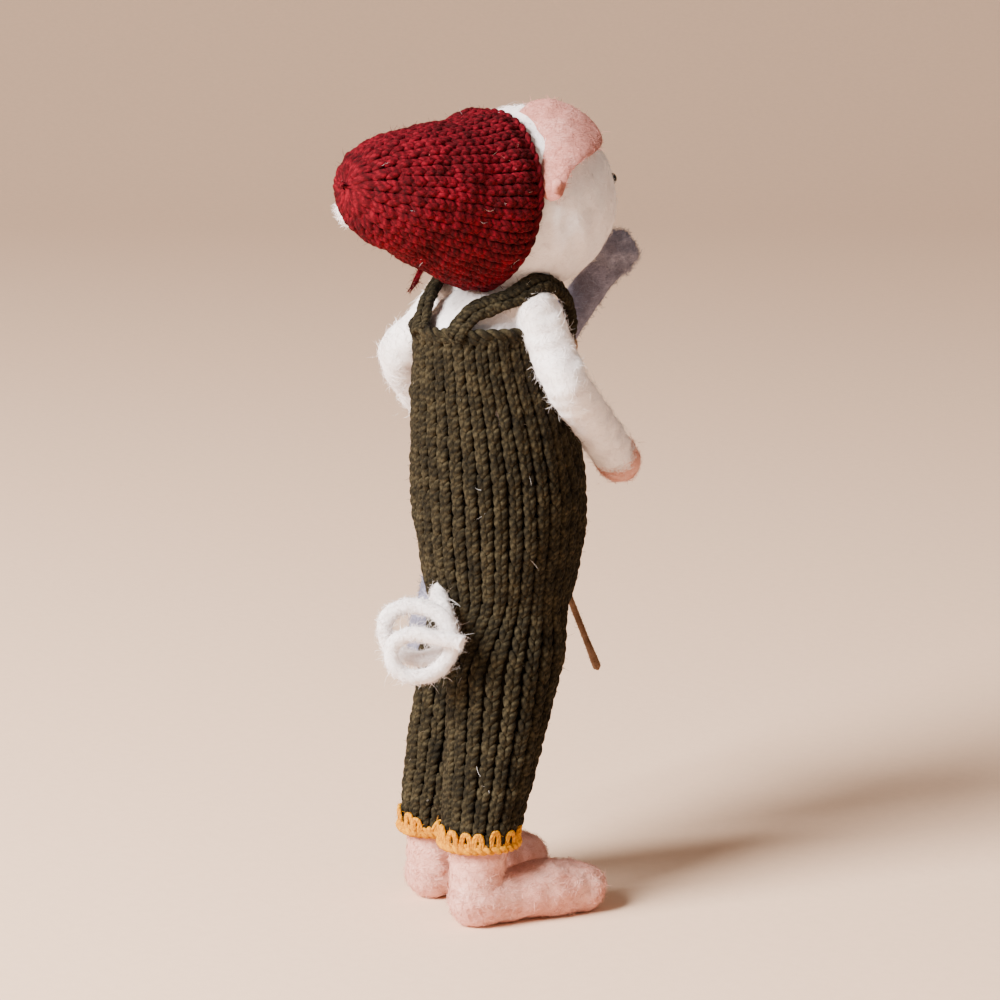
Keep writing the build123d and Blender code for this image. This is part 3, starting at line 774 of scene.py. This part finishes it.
def make_head():
    """The head and snout in one felt shape, with hollows for the eyes and a stitched mouth."""
    rows, columns = 110, 150
    polar, angle = np.meshgrid(np.linspace(0.004, pi - 0.004, rows), coil(columns), indexing="ij")
    # the poles lie along the snout, so that the face has the finest mesh
    polar = pi * (polar / pi) ** 1.25
    way = np.stack([np.sin(polar) * np.cos(angle), -np.cos(polar), np.sin(polar) * np.sin(angle)], -1)
    snout = unit(np.array([0, -cos(radians(6)), -sin(radians(6))]))
    off = np.degrees(np.arccos(np.clip(way @ snout, -1, 1)))
    reach = (HEAD_R - 0.35 + (SNOUT_REACH - HEAD_R) * np.exp(-(off / 17) ** 2)
             + 2.6 * np.exp(-(off / 34) ** 2))
    cheek = np.exp(-((np.abs(way[..., 0]) - 0.42) / 0.2) ** 2 - ((way[..., 2] + 0.3) / 0.25) ** 2)
    reach = reach + 0.9 * cheek * (way[..., 1] < 0)
    for sign in SIDES.values():
        eye = np.array([sign * sin(EYE_SIDE), -cos(EYE_SIDE), 0.03])
        near = np.degrees(np.arccos(np.clip(way @ unit(eye), -1, 1)))
        reach = reach - 1.0 * np.exp(-(near / 8) ** 2)
    mouth = np.exp(-((way[..., 2] + 0.33 - 0.25 * np.abs(way[..., 0])) / 0.02) ** 2)
    reach = reach - 0.35 * mouth * (np.abs(way[..., 0]) < 0.16) * (way[..., 1] < -0.5)
    points = head_place(way * reach[..., None])
    points = points + unit(points - HEAD_AT) * wobble(points, 8.0, 0.28, 80)[..., None]
    soup = Soup()
    soup.add(points, grid_faces(rows, columns, True)[:, ::-1])
    fibres(soup, 9000, 3.2, 0.5, 0, seed=81)
    settle(soup.build("head", [WHITE]), "white_felt", "head", "head_felt", "snout")

    soup = Soup()
    ball(soup, centre_mm("nose"), (2.5, 2.2, 2.1), lumps=0.15, seed=83)
    fibres(soup, 500, 1.2, 0.35, 0, seed=84)
    settle(soup.build("felt_nose", [PINK]), "pink_felt", "head", "nose")


EAR_ROOT = np.array([0.713, 0.323, 0.622])
EAR_WIDTH = np.array([-0.492, -0.403, 0.772])
EAR_REACH = np.array([0.828, -0.49, 0.271])
EAR_OUTLINE = [(12.0, -4), (13.4, 0), (12.2, 5.6), (8.2, 10.4), (2.6, 12.6), (-4, 11.8), (-9, 8.2),
               (-13.4, 3.4), (-17.2, 0), (-19.4, -3), (-17.5, -6.5), (-9, -8), (0, -8), (8, -8), (11.5, -7)]
EAR_DROOP = {"right": 0.0, "left": radians(12)}
EAR_SWING = {"right": 0.0, "left": radians(-24)}


def ear_way(vector, side):
    """An ear's direction on the given side, in the head's own frame."""
    x, y, z = vector
    x *= SIDES[side]
    droop, swing = EAR_DROOP[side], EAR_SWING[side]
    x, z = x * cos(droop) + z * sin(droop), -x * sin(droop) + z * cos(droop)
    return np.array([x * cos(swing) - y * sin(swing), x * sin(swing) + y * cos(swing), z])


def make_ear(side):
    """A cupped felt ear, pinched where its lower end meets the head."""
    root, wide, reach = (ear_way(v, side) for v in (EAR_ROOT, EAR_WIDTH, EAR_REACH))
    facing = np.cross(wide, reach)
    toward_hat = -1 if facing[1] < 0 else 1
    back = facing * toward_hat
    rows, spans = 26, 6
    loop = [(w, v, 0) for w, v in EAR_OUTLINE]
    loop = smooth_path(loop[-2:] + loop + loop[:3], (len(loop) + 4) * spans + 1)[2 * spans:-2 * spans - 1, :2]
    columns = len(loop)
    soup = Soup()
    rho = np.linspace(0, 1, rows)[:, None]
    u, v = (middle + (loop[None, :, k] - middle) * rho for k, middle in enumerate((-1.5, 2.0)))
    cup = 0.062 * np.clip(v + 0.5, 0, None) ** 2 + 0.008 * u ** 2 - 1.2 * np.exp(-((u + 15) / 4) ** 2)
    layers = []
    for face, thick in ((1, 1.15), (-1, -0.85)):
        bulge = thick * np.sqrt(np.clip(1 - rho ** 6, 0, 1))
        sheet = (root * (HEAD_R * 0.97) + wide * u[..., None] + reach * v[..., None]
                 + back * (bulge - cup)[..., None])
        sheet = head_place(sheet)
        sheet = sheet + (head_place(back[None]) - HEAD_AT) * wobble(sheet, 6.0, 0.22, 90 + face)[..., None]
        layers.append(sheet)
    for sheet, flip in zip(layers, (1, -1)):
        faces = grid_faces(rows, columns, True)
        soup.add(sheet, faces if flip * toward_hat > 0 else faces[:, ::-1])
    rim = np.stack([layers[0][-1], layers[1][-1]])
    soup.add(rim, grid_faces(2, columns, True))
    fibres(soup, 3600, 2.2, 0.45, 0, seed=95 + SIDES[side])
    knot = head_place((root * (HEAD_R * 0.97 + 1.0) - wide * 18.0 - reach * 2.6)[None])[0]
    ball(soup, knot, (1.5, 1.3, 2.0), lumps=0.4, seed=97, rows=14, columns=20)
    settle(soup.build(f"felt_ear_{side}", [EAR]), "pink_felt", "head", f"ear_{side}")


# ---- torso, arms, feet, tail ----
# The torso by height: middle towards the back, half width, half depth
TORSO = np.array([(100, 0, 19.5, 19.5), (130, 2.2, 19.6, 19.6), (150, 5.2, 17.0, 16.8),
                  (158, 6.4, 15.8, 15.6), (163, 5.2, 15.6, 14.4), (166.5, 3.2, 14.4, 12.6),
                  (169, 0.0, 11.8, 11.4), (172, -4.0, 9.0, 9.0)])


def make_torso():
    """The felt body, seen above the bib as the shoulders and neck."""
    heights = np.linspace(TORSO[0, 0], TORSO[-1, 0], 64)
    middle, half_x, half_y = (np.interp(heights, TORSO[:, 0], TORSO[:, k])[:, None] for k in (1, 2, 3))
    angle = coil(90)[None]
    points = np.stack([half_x * np.cos(angle), middle + half_y * np.sin(angle),
                       np.repeat(heights[:, None], 90, 1)], -1)
    points[..., :2] += unit(points - (0, 5, 0))[..., :2] * wobble(points, 8.0, 0.3, 101)[..., None]
    soup = Soup()
    soup.add(points, grid_faces(64, 90, True))
    for side, sign in SIDES.items():
        shoulder = joint_mm(f"shoulder_{side}")
        keys = [(sign * 5, 4, 163.5), (sign * 10, 3.4, 164.8), shoulder * (0.86, 1, 1) + (0, 0, 0.6)]
        felt_limb(soup, keys, (5.6, 5.9, 5.8), first=2.0, last=3.0, seed=103 + sign)
    fibres(soup, 7000, 2.6, 0.5, 0, seed=105, keep=lambda at: at[:, 2] > 156)
    settle(soup.build("torso", [WHITE]), "white_felt", "torso", "torso_felt")


def make_arm(side):
    """An arm in one felt shape, white to the wrist and pink at the hand, bent at the elbow."""
    shoulder, elbow = joint_mm(f"shoulder_{side}"), joint_mm(f"elbow_{side}")
    wrist, palm = centre_mm(f"forearm_{side}"), centre_mm(f"hand_{side}")
    hand = palm + unit(palm - wrist) * 2.6
    way = unit(hand - wrist)
    hand_start = palm - way * 2.0
    bend = elbow + unit(elbow - (shoulder + wrist) / 2) * 0.2
    upper = (shoulder + elbow) / 2
    keys = [shoulder + (0, 0, 0.6), upper, bend, wrist * 0.9 + elbow * 0.1, (wrist + hand_start) / 2,
            hand_start, hand]
    soup = Soup()
    felt_limb(soup, keys, (6.3, 6.2, 5.9, 5.9, 5.9, 5.9, 5.8), lumps=0.3, seed=111 + SIDES[side])

    def past(at):
        return (at - hand_start) @ way

    fibres(soup, 4200, 3.6, 0.5, 0, seed=115 + SIDES[side], keep=lambda at: past(at) < 3)
    fibres(soup, 160, 6.5, 2.2, 0, seed=116 + SIDES[side], keep=lambda at: past(at) < 3, width=0.035)
    fibres(soup, 1700, 3.0, 0.4, 1, seed=117 + SIDES[side], keep=lambda at: past(at) > -2.5)
    piece = soup.build(f"arm_{side}", [WHITE, PINK])
    places = mm_of([v.co for v in piece.data.vertices])
    pink = past(places) + 1.6 * np.sin(places[:, 2] * 2.1) > 0.5
    for face in piece.data.polygons:
        if pink[face.vertices[0]]:
            face.material_index = 1
    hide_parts(f"upper_arm_{side}", f"forearm_{side}", f"hand_{side}")
    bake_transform(piece)


def make_foot(side):
    """A felt foot: round heel, waist and longer toe end, with the ankle going up into the cuff."""
    ankle = centre_mm(f"cuff_trim_{side}")
    heel, toe = np.array([*HEEL[side], 6.9]), np.array([*TOE[side], 6.2])
    soup = Soup()
    felt_limb(soup, [heel, heel * 0.7 + toe * 0.3 + (0, 0, 0.3), heel * 0.36 + toe * 0.64 + (0, 0, 1.0), toe],
              (7.5, 7.0, 8.1, 6.7), lumps=0.35, seed=121 + SIDES[side], sides=48)
    felt_limb(soup, [heel + (0, 0, 1.0), heel * 0.5 + ankle * (0.5, 0.5, 0) + (0, 0, 12), ankle + (0, 0, 6)],
              (7.2, 7.7, 8.0), first=6.0, last=0, lumps=0.3, seed=125 + SIDES[side], sides=44, up=(0, 1, 0))
    fibres(soup, 9500, 3.0, 0.45, 0, seed=127 + SIDES[side], width=0.06)
    piece = soup.build(f"felt_foot_{side}", [PINK])
    # the sole is pressed flat where the foot stands
    for vertex in piece.data.vertices:
        if vertex.co.z < 0.0007:
            vertex.co.z = max(0.0003 + max(vertex.co.z, -0.001) * 0.3, 0.0001)
    settle(piece, "pink_felt", f"leg_{side}", f"foot_{side}")


TAIL = [(1.5, 17.6, 90.2), (0, 20.6, 89.0), (-3.2, 22.8, 87.6), (-6.6, 24.0, 85.6), (-9.8, 25.2, 81.5),
        (-9.5, 27.3, 76.4), (-6.3, 32.6, 74.1), (-2.1, 37.4, 76.5), (0, 39.0, 81.8), (-0.9, 37.1, 86.6),
        (-4.4, 33.1, 88.3), (-9.0, 29.2, 87.2), (-12.9, 27.5, 83.6), (-14.8, 27.7, 78.9), (-14.8, 29.7, 74.8),
        (-13.1, 33.7, 71.5), (-10.6, 37.8, 70.9), (-8.1, 40.9, 73.0), (-6.9, 41.9, 76.8), (-7.5, 40.7, 80.5),
        (-10.5, 37.4, 82.5), (-14.5, 33.8, 81.9), (-19.2, 29.6, 80.7), (-20.6, 28.6, 80.2)]


def make_tail():
    """The curled white tail: felt rolled round a fine wire, thicker at its root."""
    soup = Soup()
    path = smooth_path(TAIL, 260)
    places = np.linspace(0, 1, 260)
    width = np.interp(places, [0, 0.1, 0.5, 1], [2.5, 2.15, 2.05, 1.9])
    end = np.sqrt(np.clip(1 - np.clip((places - 0.985) / 0.015, 0, 1) ** 2, 0, 1))
    limb(soup, path, np.maximum(width * end, 0.03), sides=26, lumps=0.14, seed=131)
    fibres(soup, 6500, 2.2, 0.55, 0, seed=133)
    fibres(soup, 260, 5.0, 2.0, 0, seed=134, width=0.035)
    settle(soup.build("curled_tail", [WHITE]), "white_felt", "tail", "tail_felt")


# ---- goose ----
GOOSE = [(41.2, -4.2, 60.5), (40.7, -5, 65), (39.4, -7, 73), (36, -14, 90), (31.5, -20, 112),
         (28, -28.5, 132), (24.5, -34, 143)]
GOOSE_WIDTH = (4.4, 5.6, 7.2, 9.6, 10.9, 10.0, 6.6)
NECK = [(25, -33, 142), (22, -36.6, 150), (17.8, -40.6, 158.5), (13.2, -44.4, 166.6), (9.9, -47.3, 172.6)]
LEGS = {"right": [(20.4, -25, 107), (18.6, -29.5, 94), (16, -35.5, 80), (15.4, -41.5, 66.5),
                  (14.9, -46.9, 54.2)],
        "left": [(27, -25, 101), (26.6, -28, 90), (26, -31, 80), (26, -34, 70), (26, -35.8, 62.5)]}


def make_goose():
    """The grey goose tucked under the left arm: body, tail, neck and head in one felt shape."""
    soup = Soup()
    felt_limb(soup, GOOSE, GOOSE_WIDTH, first=3.2, last=4.0, lumps=0.45, seed=141, sides=48)
    felt_limb(soup, NECK, (5.4, 5.2, 4.9, 4.7, 5.0), first=2, last=3, lumps=0.3, seed=142, sides=32)
    fibres(soup, 9500, 3.2, 0.6, 0, seed=143)
    fibres(soup, 2600, 3.0, 0.8, 1, seed=144)
    settle(soup.build("goose", [GREY, PALE_GREY]), "grey_felt", "goose",
           "goose_body", "goose_tail", "goose_neck")

    soup = Soup()
    head = centre_mm("goose_head")
    ball(soup, head, (6.0, 6.6, 6.0), lumps=0.4, seed=146, rows=40, columns=56)
    fibres(soup, 3200, 2.6, 0.9, 0, seed=147)
    settle(soup.build("goose_crown", [PALE_GREY]), "grey_felt", "goose", "goose_head")

    soup = Soup()
    beak = unit(np.array([0.76, -0.6, -0.25]))
    felt_limb(soup, [head + beak * 4.5, head + beak * 8.5, head + beak * 12.5], (3.2, 2.6, 1.5),
              first=0, last=1.5, lumps=0.12, seed=148, sides=28, flat=0.7)
    fibres(soup, 500, 1.4, 0.3, 0, seed=149)
    settle(soup.build("beak", [BROWN]), "brown_felt", "goose", "goose_beak")


def make_wing(side):
    """A folded wing: a thin felt pad along the goose's flank, with three feather lobes at its end."""
    sign = SIDES[side]
    spine = smooth_path(GOOSE[3:6], 40)
    along = unit(spine[-1] - spine[0])
    out = unit(np.cross(along, (0.35, -0.9, 0.2))) * sign
    low, high = box_mm(f"goose_wing_{side}")
    flat = np.cross(along, out)
    rows, columns = 46, 40
    t, s = np.meshgrid(np.linspace(0, 1, rows), np.linspace(-1, 1, columns), indexing="ij")
    half = 0.95 * np.sqrt(np.clip(1 - (2 * t - 1) ** 4, 0, 1)) * (0.75 + 0.25 * t)
    angle = s * half
    lobes = 2.2 * np.abs(np.sin(1.5 * pi * (s + 1))) * (1 - smooth_step(t / 0.25))
    length = np.linalg.norm(spine[-1] - spine[0])
    core = spine[0] + along * ((t - 0.02) * length - lobes)[..., None]
    radius = np.interp(t, [0, 0.5, 1], [9.6, 10.9, 10.0])
    soup = Soup()
    for face, lift in ((1, 1.0), (-1, -1.0)):
        edge = np.clip(1 - s ** 6, 0, 1) ** 0.5 * np.clip(1 - (2 * t - 1) ** 10, 0, 1) ** 0.5
        out_by = radius + 0.15 + (0.85 * edge if face > 0 else -0.6)
        sheet = core + out * (out_by * np.cos(angle))[..., None] + flat * (out_by * np.sin(angle))[..., None]
        sheet = sheet + out * wobble(sheet, 5.0, 0.2, 151)[..., None]
        faces = grid_faces(rows, columns)
        soup.add(sheet, faces if face > 0 else faces[:, ::-1])
    fibres(soup, 2600, 3.0, 0.5, 0, seed=153 + sign)
    settle(soup.build(f"wing_{side}", [PALE_GREY]), "grey_felt", "goose", f"goose_wing_{side}")


def make_goose_leg(side):
    """A thin leg of brown wool wound on wire, with a small rounded foot."""
    soup = Soup()
    path = smooth_path(LEGS[side], 90)
    width = np.interp(np.linspace(0, 1, 90), [0, 0.8, 0.93, 0.98, 1.0], [0.9, 0.88, 1.15, 1.2, 0.1])
    limb(soup, path, width, sides=20, lumps=0.07, seed=161)
    count = 620
    turns = np.linspace(0, 2 * pi * 34, count)
    core = smooth_path(LEGS[side], count)
    across, over = path_frames(core)
    wind = np.interp(np.linspace(0, 1, count), np.linspace(0, 1, 90), width) * 0.93
    for start in (0, pi):
        strand = (core + across * (np.cos(turns + start) * wind)[:, None]
                  + over * (np.sin(turns + start) * wind)[:, None])
        yarn_tubes(soup, strand[None, :600], np.full((1, 600), 0.16), (strand - core)[None, :600], sides=5,
                   turns=60)
    fibres(soup, 420, 1.5, 0.45, 0, seed=163)
    settle(soup.build(f"goose_shank_{side}", [BROWN]), "brown_felt", "goose",
           f"goose_leg_{side}", f"goose_foot_{side}")


# ---- carried-over hard pieces ----
def finish_hard_pieces():
    """The beads, buttons and wires keep their own shape and get their materials."""
    for name, piece in frame["nodes"].items():
        if "eye" in name:
            material = BLACK
        elif "button" in name:
            material = WOOD
        elif "wire" in name or name == "armature_spine":
            material = STEEL
        else:
            continue
        if not piece.data.materials:
            piece.data.materials.append(material)
        for place in range(len(piece.data.materials)):
            piece.data.materials[place] = material


# ---- stage ----
SWEEP_HALF, SWEEP_FLAT, SWEEP_BEND, SWEEP_TOP = 4.0, 1.3, 1.6, 4.5


def make_stage():
    """A pale paper sweep: a flat floor, a round bend and a wall, in metres."""
    turn = np.linspace(0, pi / 2, 40)
    bend = np.stack([SWEEP_FLAT + SWEEP_BEND * np.sin(turn), SWEEP_BEND - SWEEP_BEND * np.cos(turn)], 1)
    curve = np.vstack([[-SWEEP_HALF, 0], bend, [SWEEP_FLAT + SWEEP_BEND, SWEEP_TOP]])
    azimuth = radians(VIEW_AZIMUTH)
    away = np.array([-sin(azimuth), cos(azimuth), 0])
    across = np.array([cos(azimuth), sin(azimuth), 0])
    points = np.stack([away * out + across * w + (0, 0, up) for out, up in curve
                       for w in (-SWEEP_HALF, SWEEP_HALF)])
    soup = Soup()
    soup.add(points / MM, grid_faces(len(curve), 2)[:, ::-1])
    sweep = soup.build("paper_sweep", [floor_material()])


def make_lights():
    """One large soft key from the camera's left, a weak fill, and a pale surround."""
    azimuth = radians(VIEW_AZIMUTH)
    right = np.array([cos(azimuth), sin(azimuth), 0])
    toward = np.array([sin(azimuth), -cos(azimuth), 0])
    for name, place, size, power in (("key", -right * 1.05 + toward * 0.75 + (0, 0, 0.95), 0.8, 125.0),
                                     ("fill", right * 1.3 + toward * 1.2 + (0, 0, 0.7), 1.4, 3.0)):
        data = bpy.data.lights.new(name, "AREA")
        data.shape, data.size, data.energy = "DISK", size, power
        data.color = (1.0, 0.965, 0.93)
        lamp = bpy.data.objects.new(name, data)
        lamp.location = place
        aim = (MIDDLE + VIEW_TARGET) * MM - place
        lamp.rotation_euler = (np.arctan2(np.hypot(aim[0], aim[1]), -aim[2]), 0, np.arctan2(-aim[0], aim[1]))
        bpy.context.collection.objects.link(lamp)
    world = bpy.data.worlds.new("surround")
    world.use_nodes = True
    world.node_tree.nodes["Background"].inputs["Color"].default_value = (1.0, 0.88, 0.79, 1)
    world.node_tree.nodes["Background"].inputs["Strength"].default_value = 0.27
    bpy.context.scene.world = world


for doll_side in SIDES:
    make_garment(doll_side)
    make_cuff(doll_side)
    make_strap(doll_side)
    make_ear(doll_side)
    make_arm(doll_side)
    make_foot(doll_side)
    make_wing(doll_side)
    make_goose_leg(doll_side)
make_edging()
make_hat()
make_yarn_end()
make_bobble()
make_head()
make_torso()
make_tail()
make_goose()
finish_hard_pieces()
make_stage()
make_lights()
